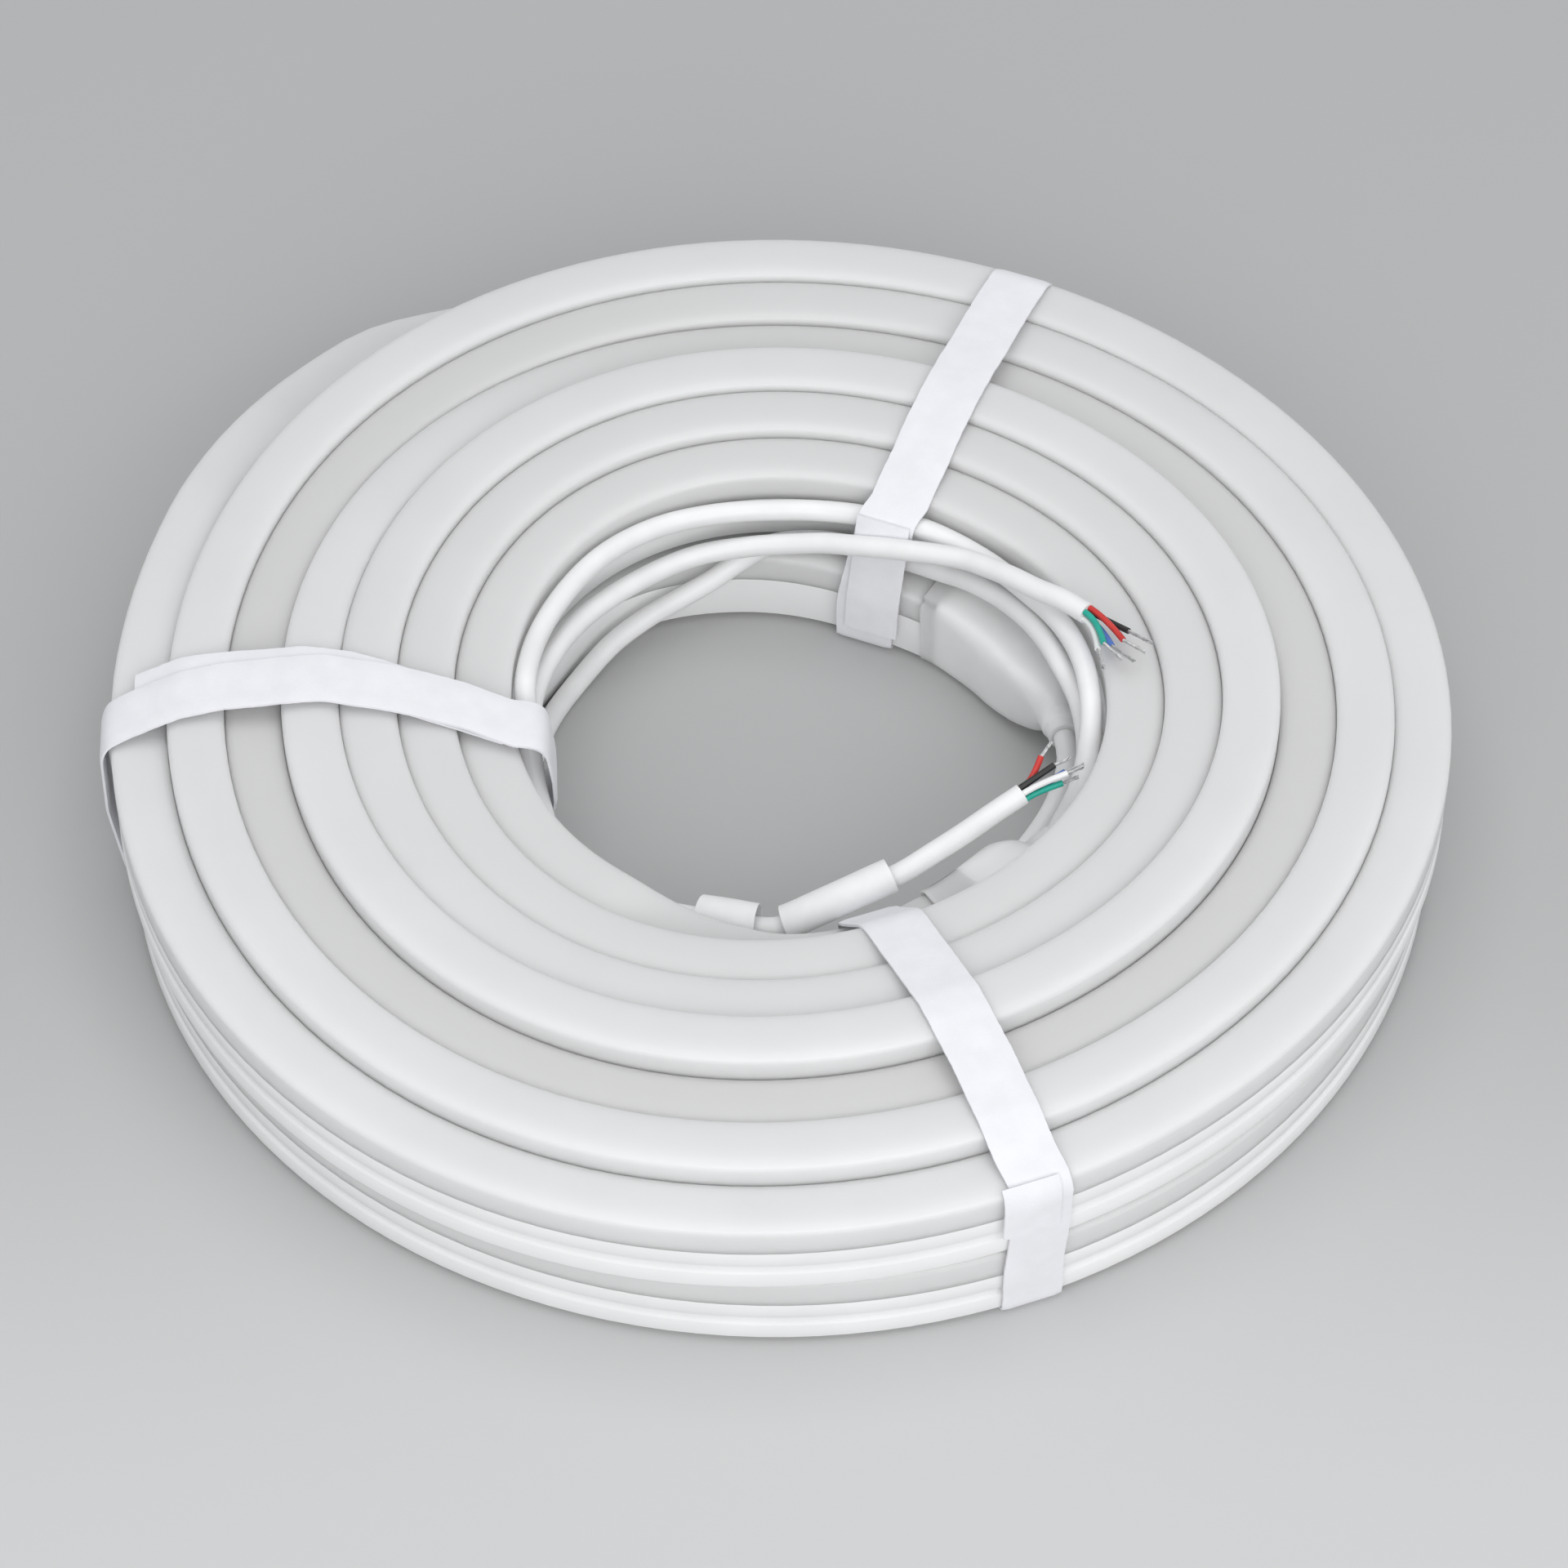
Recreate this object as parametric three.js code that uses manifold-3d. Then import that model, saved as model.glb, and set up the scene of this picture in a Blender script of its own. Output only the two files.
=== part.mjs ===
// Strapped coil of LED neon flex: two stacked layers of one flex, both moulded ends in the centre
// hole, a cable on each end and three hook-and-loop straps. Millimetres, +Z up, coil lying flat.
import * as THREE from 'three';
import { mergeVertices } from 'three/addons/utils/BufferGeometryUtils.js';
import Module from 'manifold-3d';

const wasm = await Module();
wasm.setup();

// ---- driving dimensions ----
const FLEX_WIDTH = 14.7;
const FLEX_HEIGHT = 23.0;
const BASE_HEIGHT = 13.25;
const GROOVE_DEPTH = 0.9;
const GROOVE_LOW = 5.3;
const GROOVE_HIGH = 8.2;
const PART_GAP = 0.3;
const TURN_GAP = 0.3;
const TURN_PITCH = FLEX_WIDTH + TURN_GAP;
const LAYER_STEP = FLEX_HEIGHT + PART_GAP;
const STRAP_WIDTH = 16.0;
const STRAP_THICKNESS = 1.4;
const STRAP_CLEARANCE = 0.45;
const HELD_SLACK = 0.6;
const COIL_LIFT = STRAP_THICKNESS + PART_GAP;
const CABLE_RADIUS = 2.9;
const WIRE_RADIUS = 0.85;
const STRAND_RADIUS = 0.45;
const CAP_WALL = 1.0;
const LABEL_THICKNESS = 0.5;
const LABEL_LEFT_RADIUS = CABLE_RADIUS + 1.9;
const LABEL_FRONT_RADIUS = CABLE_RADIUS + 1.3;

// ---- winding: start radius of the upper layer, turns and centre of the lower one ----
const UPPER_START_RADIUS = 76.5;
const SQUEEZE = 1.8;
const LOWER_TURNS = 6.4933;
const LOWER_RADIUS = UPPER_START_RADIUS + LOWER_TURNS * TURN_PITCH;
const LOWER_CENTRE_X = -5.3;
const LOWER_CENTRE_Y = -0.9;
const DENT_DEPTH = 6.0;
const DENT_ANGLE = 153;
const DENT_SPREAD = 14;
const START_ANGLE = 310;
const SPIRAL_FROM = 130;
const DESCENT_FROM = 2290;
const DESCENT_TO = 2410;
const LOWER_ZERO = 2360;
const FLEX_END = 4577;
const STEP_ANGLE = 15;
const SLEEVE_OVER_A = 3;
const SLEEVE_OVER_B = 8;

// Plan shift that brings the middle of the coil's outline over the origin.
const COIL_AXIS_X = 2.8;
const COIL_AXIS_Y = -2.3;

const rad = THREE.MathUtils.degToRad;

function paint(color, roughness, metalness = 0) {
  return new THREE.MeshStandardMaterial({ color, roughness, metalness });
}

const OPAQUE_WHITE = paint(0xeceff1, 0.45);
const MILKY = paint(0xdfe3e6, 0.35);
const CABLE_WHITE = paint(0xf2f3f4, 0.5);
const STRAP_WHITE = paint(0xeef0f4, 0.9);
const LABEL_WHITE = paint(0xf6f6f4, 0.6);
const TINNED = paint(0xa9adb0, 0.35, 0.9);
const WIRE_COLOURS = {
  red: paint(0xcd3732, 0.45),
  black: paint(0x1c1c1e, 0.45),
  white: paint(0xeeeeee, 0.45),
  green: paint(0x14aa96, 0.45),
  blue: paint(0x5a82d7, 0.45),
};

// Value of a hand-drawn curve, given as [position, value, ...] rows, eased between the rows.
function along(rows, position, column = 1) {
  if (position <= rows[0][0]) {
    return rows[0][column];
  }
  for (let i = 1; i < rows.length; i += 1) {
    if (position <= rows[i][0]) {
      const span = rows[i][0] - rows[i - 1][0];
      const share = (position - rows[i - 1][0]) / span;
      return rows[i - 1][column] + (rows[i][column] - rows[i - 1][column]) * share;
    }
  }
  return rows[rows.length - 1][column];
}

// Lift of the upper layer's turns, by turns wound from the inner end: slack turns ride higher.
const UPPER_LIFT = [
  [0.361, 1.0], [0.611, 1.7], [0.861, 3.1], [1.111, 4.5], [1.361, 4.5], [1.611, 4.6],
  [1.861, 5.8], [2.111, 7.0], [2.361, 6.8], [2.611, 6.6], [2.861, 8.9], [3.111, 11.1],
  [3.361, 7.6], [3.611, 0.2], [3.861, 2.2], [4.111, 4.4], [4.361, 3.3], [4.611, 2.2],
  [4.861, 4.5], [5.111, 6.7], [5.361, 5.4], [5.611, 4.2], [5.861, 2.3], [6.111, 0.5],
  [6.361, 0.2],
];

// The sunk inner end: winding angle, radius past the start radius, height of the underside and
// outward lean of the top.
const INNER_END = [
  [0, -4.3, 8.5, 0], [10, -3.5, 8.9, 0], [20, -2.7, 9.3, 1.2], [40, -1.3, 11.2, 2.8],
  [50, -1.1, 14.5, 3.9], [60, -1.4, 18.5, 5.3], [75, -1.6, 23.6, 6.1], [95, 0.4, 24.0, 3.8],
  [115, 2.9, 24.2, 0.6], [130, 3.6, 24.3, 0],
];

// The outer turn on its way down to the lower layer: winding angle, outer radius past the lower
// layer's, height of the underside.
const DESCENT = [
  [2290, 3.6, 23.5], [2297.5, 4.1, 23.5], [2305, 5.1, 23.4], [2312.5, 6.7, 23.4],
  [2320, 9.7, 20.3], [2327.5, 13.3, 15.8], [2335, 16.5, 11.5], [2342.5, 19.0, 7.7],
  [2350, 16.7, 3.6], [2357.5, 12.1, 1.5], [2365, 10.0, 0.3], [2372.5, 7.7, 0],
  [2380, 5.5, 0], [2395, 3.0, 0], [2410, 1.8, 0],
];

// Extra inward curl of the lower layer's inner end.
const INNER_CURL = [
  [4450, 0], [4502, -1.0], [4530, -3.5], [4563, -5.7], [4577, -4.2],
];

function squeeze(angle) {
  return SQUEEZE * Math.cos(3 * rad(angle));
}

// Centre radius, underside height and lean of the flex at a winding angle from the upper inner end.
function station(turned) {
  const angle = START_ANGLE - turned;
  if (turned < SPIRAL_FROM) {
    const radius = UPPER_START_RADIUS + along(INNER_END, turned);
    return { angle, radius, low: along(INNER_END, turned, 2), lean: along(INNER_END, turned, 3) };
  }
  if (turned <= DESCENT_FROM) {
    const turns = turned / 360;
    const radius = UPPER_START_RADIUS + TURN_PITCH * turns + squeeze(angle);
    return { angle, radius, low: LAYER_STEP + along(UPPER_LIFT, turns), lean: 0 };
  }
  if (turned < DESCENT_TO) {
    const outer = LOWER_RADIUS + along(DESCENT, turned);
    return { angle, radius: outer - FLEX_WIDTH / 2, low: along(DESCENT, turned, 2), lean: 0 };
  }
  let own = LOWER_RADIUS - TURN_PITCH * (turned - LOWER_ZERO) / 360;
  own += LOWER_CENTRE_X * Math.cos(rad(angle)) + LOWER_CENTRE_Y * Math.sin(rad(angle));
  const off = ((angle - DENT_ANGLE + 180) % 360 + 360) % 360 - 180;
  own -= DENT_DEPTH * Math.exp(-0.5 * (off / DENT_SPREAD) ** 2);
  own += along(INNER_CURL, turned);
  return { angle, radius: own, low: 0, lean: 0 };
}

function place(angle, radius, height) {
  const a = rad(angle);
  return new THREE.Vector3(
    radius * Math.cos(a) + COIL_AXIS_X,
    radius * Math.sin(a) + COIL_AXIS_Y,
    height + COIL_LIFT,
  );
}

// Winding angles of all stations: every step of the plan angle, finer on the way down.
function windings() {
  const list = [0, SLEEVE_OVER_B];
  const first = START_ANGLE % STEP_ANGLE;
  for (let w = first; w < FLEX_END; w += STEP_ANGLE) {
    if (w > list[list.length - 1] && w < FLEX_END - SLEEVE_OVER_A - 1) {
      list.push(w);
    }
    const half = w + STEP_ANGLE / 2;
    if (half > DESCENT_FROM && half < DESCENT_TO - STEP_ANGLE) {
      list.push(half);
    }
  }
  list.push(FLEX_END - SLEEVE_OVER_A, FLEX_END);
  return list;
}

// A closed body through rings of equal point count: the two ends are closed by fans, or the last
// ring runs back into the first.
function loft(rings, around = false) {
  const positions = [];
  const index = [];
  const count = rings[0].length;
  for (const ring of rings) {
    for (const p of ring) {
      positions.push(p.x, p.y, p.z);
    }
  }
  const bands = around ? rings.length : rings.length - 1;
  for (let r = 0; r < bands; r += 1) {
    const next = (r + 1) % rings.length * count;
    for (let i = 0; i < count; i += 1) {
      const j = (i + 1) % count;
      const a = r * count + i;
      const b = r * count + j;
      index.push(a, b, next + j, a, next + j, next + i);
    }
  }
  const close = (offset, flip) => {
    const middle = new THREE.Vector3();
    const ring = rings[offset / count];
    ring.forEach((p) => middle.add(p));
    middle.divideScalar(count);
    const centre = positions.length / 3;
    positions.push(middle.x, middle.y, middle.z);
    for (let i = 0; i < count; i += 1) {
      const a = offset + i;
      const b = offset + (i + 1) % count;
      if (flip) {
        index.push(b, a, centre);
      } else {
        index.push(a, b, centre);
      }
    }
  };
  if (!around) {
    close(0, true);
    close((rings.length - 1) * count, false);
  }
  const geometry = new THREE.BufferGeometry();
  geometry.setAttribute('position', new THREE.Float32BufferAttribute(positions, 3));
  geometry.setIndex(index);
  return outward(geometry);
}

function outward(geometry) {
  const p = geometry.getAttribute('position');
  const index = geometry.getIndex();
  let volume = 0;
  const a = new THREE.Vector3();
  const b = new THREE.Vector3();
  const c = new THREE.Vector3();
  for (let i = 0; i < index.count; i += 3) {
    a.fromBufferAttribute(p, index.getX(i));
    b.fromBufferAttribute(p, index.getX(i + 1));
    c.fromBufferAttribute(p, index.getX(i + 2));
    volume += a.dot(b.cross(c));
  }
  if (volume < 0) {
    for (let i = 0; i < index.count; i += 3) {
      const keep = index.getX(i + 1);
      index.setX(i + 1, index.getX(i + 2));
      index.setX(i + 2, keep);
    }
  }
  geometry.computeVertexNormals();
  return geometry;
}

const group = new THREE.Group();
group.name = 'led_neon_flex_reel';

function add(name, geometry, material) {
  const mesh = new THREE.Mesh(geometry, material);
  mesh.name = name;
  group.add(mesh);
  return mesh;
}

// ---- the flex: opaque base with a groove in its outer side, milky diffuser above it ----
const HALF = FLEX_WIDTH / 2;
const GROOVE_MIDDLE = (GROOVE_LOW + GROOVE_HIGH) / 2;
const BASE_SECTION = [
  [HALF, 0], [HALF, GROOVE_LOW], [HALF - GROOVE_DEPTH, GROOVE_MIDDLE], [HALF, GROOVE_HIGH],
  [HALF, BASE_HEIGHT], [-HALF, BASE_HEIGHT], [-HALF, 0],
];
const SHOULDER = FLEX_HEIGHT - 4.4;
const DIFFUSER_LOW = BASE_HEIGHT + PART_GAP + 0.08;
const DIFFUSER_SECTION = [
  [-HALF, DIFFUSER_LOW], [-HALF, SHOULDER], [-HALF + 1.25, FLEX_HEIGHT - 1.4],
  [-HALF + 4.15, FLEX_HEIGHT], [HALF - 4.15, FLEX_HEIGHT], [HALF - 1.25, FLEX_HEIGHT - 1.4],
  [HALF, SHOULDER], [HALF, DIFFUSER_LOW],
];

function across(s, [x, z]) {
  return place(s.angle, s.radius + x + s.lean * z / FLEX_HEIGHT, s.low + z);
}

function wind(section) {
  return loft(windings().map(station).map((s) => section.map((corner) => across(s, corner))));
}

add('flex_base', wind(BASE_SECTION), OPAQUE_WHITE);
add('flex_diffuser', wind(DIFFUSER_SECTION), MILKY);

// ---- moulded end caps: a sleeve over the flex end that necks down to the cable ----
const SIDE = HALF + PART_GAP + 0.22;
const POCKET = [
  [0, -PART_GAP], [4, -PART_GAP], [SIDE, -PART_GAP], [SIDE, 4], [SIDE, 11.5], [SIDE, SHOULDER + 0.2],
  [SIDE - 1.05, FLEX_HEIGHT - 0.85], [3.6, FLEX_HEIGHT + PART_GAP], [0, FLEX_HEIGHT + PART_GAP],
];
const POCKET_RING = POCKET.concat(POCKET.slice(1, -1).reverse().map(([x, z]) => [-x, z]));
const POCKET_MIDDLE = FLEX_HEIGHT / 2;

// One ring of a cap: the pocket outline grown to a width and height and rounded by a share.
function capRing([angle, radius, middle, width, height, round]) {
  const halfPocket = POCKET_MIDDLE + PART_GAP;
  return POCKET_RING.map(([x, z]) => {
    const px = x / SIDE * width / 2;
    const pz = (z - POCKET_MIDDLE) / halfPocket * height / 2;
    const turn = Math.atan2(z - POCKET_MIDDLE, x);
    const ex = Math.cos(turn) * width / 2;
    const ez = Math.sin(turn) * height / 2;
    return place(angle, radius + px + (ex - px) * round, middle + pz + (ez - pz) * round);
  });
}

const SLEEVE_WIDTH = 2 * (SIDE + CAP_WALL);
const SLEEVE_HEIGHT = FLEX_HEIGHT + 2 * (PART_GAP + CAP_WALL);
const HOLE = 2 * (CABLE_RADIUS + PART_GAP + 0.2);
const NECK = HOLE + 2.8;

// The pocket follows the last stretch of the flex and goes a little beyond its end.
function sleeveRows(mouth, end) {
  const m = station(mouth);
  const e = station(end);
  const beyond = 0.2;
  const whole = Math.floor(e.angle / 360) * 360;
  return [
    [m.angle - whole, m.radius, m.low + POCKET_MIDDLE],
    [
      e.angle - whole + (e.angle - m.angle) * beyond,
      e.radius + (e.radius - m.radius) * beyond,
      e.low + (e.low - m.low) * beyond + POCKET_MIDDLE,
    ],
  ];
}

// Neck rows give plan angle, radius past the flex end's, middle height, width, height and roundness.
// The neck ends where the cable's first straight stretch crosses the plan angle given, and the
// blind hole in it follows that stretch down to the cable's start.
function cap(name, [sleeveFrom, flexEnd], neck, mouth, path, steps) {
  const sleeve = sleeveRows(sleeveFrom, flexEnd);
  const first = path.getPointAt(0);
  const ahead = path.getPointAt(1 / steps).sub(first).normalize();
  const across = new THREE.Vector3(-Math.sin(rad(mouth)), Math.cos(rad(mouth)), 0);
  const row = (p, size) => {
    const x = p.x - COIL_AXIS_X;
    const y = p.y - COIL_AXIS_Y;
    const angle = THREE.MathUtils.radToDeg(Math.atan2(y, x));
    const oblique = size / Math.abs(ahead.dot(across));
    return [angle, Math.hypot(x, y), p.z - COIL_LIFT, oblique, oblique, 1];
  };
  const axis = new THREE.Vector3(COIL_AXIS_X, COIL_AXIS_Y, 0);
  const reach = -first.clone().sub(axis).dot(across) / ahead.dot(across);
  const open = first.clone().addScaledVector(ahead, reach);
  const deep = first.clone().addScaledVector(ahead, -2.4);
  const pocket = sleeve.map((r) => [...r, 2 * SIDE, 2 * (POCKET_MIDDLE + PART_GAP), 0]);
  const outside = sleeve.map((r) => [...r, SLEEVE_WIDTH, SLEEVE_HEIGHT, 0.1]);
  const base = station(flexEnd).radius;
  const rings = [
    ...pocket.slice().reverse(),
    ...outside,
    ...neck.map(([angle, past, ...rest]) => [angle, base + past, ...rest]),
    row(open, NECK),
    row(open, HOLE),
    row(deep, HOLE),
  ];
  add(name, loft(rings.map(capRing)), MILKY);
}

// ---- cables: routes by plan angle, radius past the start radius, height above the ground ----
const ROUTE_A = [
  [13.6, -1.1, 15.9], [6.5, -1.1, 12.8], [2, -2.7, 9], [357, -5.7, 5.5], [351, -9.2, 3.6],
  [343, -12.7, 3.1], [330, -15.9, 3.1], [310, -17.3, 3.1], [285, -17, 3.1], [260, -16.5, 3.1],
  [240, -16.2, 3.1], [222, -15.9, 3.1], [210, -14.9, 3.1], [200, -12.5, 3.1], [193, -10.2, 3.1],
  [187, -8, 3.1], [180, -6.5, 3.1], [168, -5.9, 3.1], [154, -5.1, 3.1], [141, -4.3, 4],
  [131, -4.1, 8], [122, -5, 12], [114.5, -6.5, 16.2], [107, -7.4, 21], [101, -6.6, 25.3],
  [94, -4.1, 28], [84, -2.7, 28.6], [73, -3.1, 28.6], [64, -3.3, 29], [56, -3.7, 30.7],
  [47, -3.6, 33.7], [37.4, -3, 35.7], [26, -2.3, 37.7], [14, -1.4, 38.7], [6, 1.5, 34.5],
  [357, 2.7, 29.7], [349, 2.1, 25], [342, 1.3, 17], [335, 0.1, 9.5], [328, -2, 4.6],
  [320, -5, 3.2], [308, -8.7, 3.1], [296, -10.5, 3.1], [280, -10.1, 3.1], [262, -9.6, 3.1],
  [245, -9.5, 3.1], [230, -9.5, 3.6], [218, -9.3, 6.5], [208, -9.1, 11], [198, -8.9, 17],
  [189, -8.5, 24], [180, -8.1, 30.5], [170, -8.1, 34.5], [157, -8.5, 34.7], [141, -7.4, 31.7],
  [123.7, -6.1, 29.7], [110.3, -5.5, 30], [99, -8.2, 32.5], [90, -10.3, 34.9], [81, -11.7, 37.6],
  [73, -12.9, 40], [65, -12.8, 42.2], [54, -10.3, 44.5], [46, -7.5, 46.3], [39.6, -6.7, 48.7],
  [33, -5, 50.9], [26.2, -2.5, 52.9], [20.5, 1.5, 54.6], [15.3, 5.5, 55.4],
];
const ROUTE_B = [
  [334.6, -1.6, 21.7], [341, 0.3, 27], [345.5, 2.5, 33], [351, 3.1, 38.5], [358, 3.3, 43],
  [6, 2.8, 46], [14, 1.9, 46.5], [22, 0.8, 45.3], [31, -0.4, 43.4], [45, -1.9, 43.2],
  [60, -3.2, 43.7], [73, -3.2, 41.8], [84, -2.8, 40.6], [97, -2.6, 40.5], [107, -2.1, 41],
  [118, -1.7, 41.8], [131, -2.5, 42.8], [144, -4.2, 43.2], [160, -5.8, 43.8], [175, -7.1, 45],
  [183, -8, 40.5], [190, -8.4, 33], [197, -8.5, 26.5], [204, -8.7, 22.3], [212, -9.3, 21.5],
  [221, -10.5, 22], [232, -11.9, 23.5], [243, -13, 25.8], [255, -13.2, 28.3], [266.2, -12.3, 29.1],
  [270.4, -12.9, 30.5], [276.8, -14.3, 33.1], [284.1, -15.7, 35], [291.6, -16.4, 36.5], [298.9, -15.9, 38.2],
  [308.7, -16, 39.4], [318, -15.2, 39.6], [327, -12.9, 40.2], [333.6, -8.5, 42.7],
];

function spot([angle, past, height]) {
  return place(angle, UPPER_START_RADIUS + past, height - COIL_LIFT);
}

function curve(route) {
  return new THREE.CatmullRomCurve3(route.map(spot), false, 'centripetal');
}

function welded(geometry) {
  geometry.deleteAttribute('normal');
  geometry.deleteAttribute('uv');
  return outward(mergeVertices(geometry, 1e-4));
}

function tube(name, path, radius, sides, steps, material) {
  const round = new THREE.Shape();
  for (let i = 0; i < sides; i += 1) {
    const a = 2 * Math.PI * i / sides;
    const x = radius * Math.cos(a);
    const y = radius * Math.sin(a);
    if (i === 0) {
      round.moveTo(x, y);
    } else {
      round.lineTo(x, y);
    }
  }
  round.closePath();
  const geometry = new THREE.ExtrudeGeometry(round, {
    steps, extrudePath: path, bevelEnabled: false, curveSegments: sides,
  });
  add(name, welded(geometry), material);
}

const pathA = curve(ROUTE_A);
const pathB = curve(ROUTE_B);
const STEPS_A = 58;
const STEPS_B = 32;
tube('cable_a', pathA, CABLE_RADIUS, 8, STEPS_A, CABLE_WHITE);
tube('cable_b', pathB, CABLE_RADIUS, 8, STEPS_B, CABLE_WHITE);

cap('end_cap_a', [FLEX_END - SLEEVE_OVER_A, FLEX_END], [
  [44, -0.1, 11.5, 17.4, 25.2, 0.12], [35, -0.3, 11.6, 17.2, 25.0, 0.2],
  [27, 0.4, 12.0, 15.8, 23.6, 0.4], [20.5, 1.4, 13.0, 12.8, 19.0, 0.7],
  [16.5, 2.0, 13.6, 10.2, 12.6, 1],
], 10.8, pathA, STEPS_A);
cap('end_cap_b', [SLEEVE_OVER_B, 0], [
  [317, 0, 20.0, 17.2, 25.2, 0.12], [323, -0.2, 20.1, 16.6, 24.2, 0.3],
  [328, 1.0, 20.1, 14.2, 20.4, 0.6], [331.5, 2.0, 20.0, 11.4, 13.6, 1],
], 337, pathB, STEPS_B);

// ---- stripped ends: five insulated wires fan out of each cable, a tinned tip on each ----
const WIRE_SPREAD = 1.75;
const WIRE_START = PART_GAP + 0.1;

function stripped(side, path, fans) {
  const end = path.getPointAt(1);
  const ahead = path.getTangentAt(1);
  const up = new THREE.Vector3(0, 0, 1);
  const across = new THREE.Vector3().crossVectors(ahead, up).normalize();
  const above = new THREE.Vector3().crossVectors(across, ahead).normalize();
  for (const colour of Object.keys(WIRE_COLOURS)) {
    const [seat, cut, tip] = fans[colour];
    const turn = rad(seat);
    const start = end.clone().addScaledVector(across, Math.cos(turn) * WIRE_SPREAD);
    start.addScaledVector(above, Math.sin(turn) * WIRE_SPREAD);
    start.addScaledVector(ahead, WIRE_START);
    const last = spot(cut);
    const knee = start.clone().addScaledVector(ahead, start.distanceTo(last) * 0.35);
    const bend = new THREE.QuadraticBezierCurve3(start, knee, last);
    tube(`wire_${side}_${colour}`, bend, WIRE_RADIUS, 8, 3, WIRE_COLOURS[colour]);
    const point = spot(tip);
    const on = point.clone().sub(last).normalize();
    const from = last.clone().addScaledVector(on, PART_GAP + 0.6);
    tube(`strands_${side}_${colour}`, new THREE.LineCurve3(from, point), STRAND_RADIUS, 8, 1, TINNED);
  }
}

stripped('a', pathA, {
  red: [126, [6.2, 12, 58.4], [3.5, 17.3, 57.8]],
  black: [198, [8.5, 14.1, 57.6], [4.8, 19.5, 58.6]],
  white: [342, [5.8, 5.3, 56.2], [1.4, 6.4, 55.2]],
  green: [54, [6.0, 6.8, 58.2], [2.8, 11.2, 56.6]],
  blue: [270, [6.6, 9.2, 55.8], [2.1, 14.5, 56.8]],
});
stripped('b', pathB, {
  red: [198, [342.9, -7.5, 46.0], [346.4, -5.6, 48.0]],
  black: [126, [341.0, -3.2, 46.8], [343.0, 0.5, 48.2]],
  white: [54, [339.5, 1.1, 47.4], [340.8, 4.8, 49.5]],
  green: [342, [338.6, 0.2, 44.4], [341.6, 3.1, 43.6]],
  blue: [270, [341.9, -0.5, 43.8], [343.5, 3.9, 46.2]],
});

// ---- blank labels: loose paper sleeves round the front cable, standing above it ----
function label(name, path, steps, [from, to], inner, rise) {
  const outer = inner + LABEL_THICKNESS;
  const sides = 12;
  const stops = [from];
  for (let i = Math.ceil(from); i < to; i += 1) {
    stops.push(i);
  }
  stops.push(to);
  const ring = (stop, radius) => {
    const low = Math.floor(stop);
    const centre = path.getPointAt(low / steps);
    centre.lerp(path.getPointAt(Math.min(1, (low + 1) / steps)), stop - low);
    const ahead = path.getTangentAt(stop / steps);
    const across = new THREE.Vector3().crossVectors(ahead, new THREE.Vector3(0, 0, 1)).normalize();
    const above = new THREE.Vector3().crossVectors(across, ahead).normalize();
    const points = [];
    for (let i = 0; i < sides; i += 1) {
      const a = 2 * Math.PI * i / sides;
      const p = centre.clone().addScaledVector(across, radius * Math.cos(a));
      points.push(p.addScaledVector(above, radius * Math.sin(a) + rise));
    }
    return points;
  };
  const rings = stops.map((stop) => ring(stop, outer));
  rings.push(...stops.slice().reverse().map((stop) => ring(stop, inner)));
  add(name, loft(rings, true), LABEL_WHITE);
}

label('label_left', pathB, STEPS_B, [25.4, 26.6], LABEL_LEFT_RADIUS, 1.5);
label('label_front', pathB, STEPS_B, [27.05, 29.15], LABEL_FRONT_RADIUS, 0.9);

// ---- straps: each is a taut band round the coil's section and the cables held under it ----
function crossings(plan, offset) {
  const side = new THREE.Vector3(-Math.sin(rad(plan)), Math.cos(rad(plan)), 0);
  const out = new THREE.Vector3(Math.cos(rad(plan)), Math.sin(rad(plan)), 0);
  const found = [];
  const outline = [
    [HALF, 0], [HALF, SHOULDER], [HALF - 1.25, FLEX_HEIGHT - 1.4], [HALF - 4.15, FLEX_HEIGHT],
    [-HALF + 4.15, FLEX_HEIGHT], [-HALF + 1.25, FLEX_HEIGHT - 1.4], [-HALF, SHOULDER], [-HALF, 0],
  ];
  const axis = new THREE.Vector3(COIL_AXIS_X, COIL_AXIS_Y, 0);
  const list = windings().map(station);
  for (const corner of outline) {
    for (let i = 1; i < list.length; i += 1) {
      const p = across(list[i - 1], corner).sub(axis);
      const q = across(list[i], corner).sub(axis);
      const sp = p.dot(side) - offset;
      const sq = q.dot(side) - offset;
      if (sp * sq <= 0 && p.dot(out) > 0 && q.dot(out) > 0) {
        const m = p.lerp(q, sp / (sp - sq));
        found.push([m.dot(out), m.z]);
      }
    }
  }
  return found;
}

function held(plan, path, range) {
  const side = new THREE.Vector3(-Math.sin(rad(plan)), Math.cos(rad(plan)), 0);
  const out = new THREE.Vector3(Math.cos(rad(plan)), Math.sin(rad(plan)), 0);
  const axis = new THREE.Vector3(COIL_AXIS_X, COIL_AXIS_Y, 0);
  const found = [];
  const [low, high] = range;
  for (let i = 0; i <= 60; i += 1) {
    const p = path.getPointAt(low + (high - low) * i / 60).sub(axis);
    if (Math.abs(p.dot(side)) > STRAP_WIDTH / 2 + 1 || p.dot(out) < 0) {
      continue;
    }
    for (let k = 0; k < 16; k += 1) {
      const a = Math.PI * k / 8;
      const reach = CABLE_RADIUS + HELD_SLACK;
      found.push([p.dot(out) + reach * Math.cos(a), p.z + reach * Math.sin(a)]);
    }
  }
  return found;
}

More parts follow.
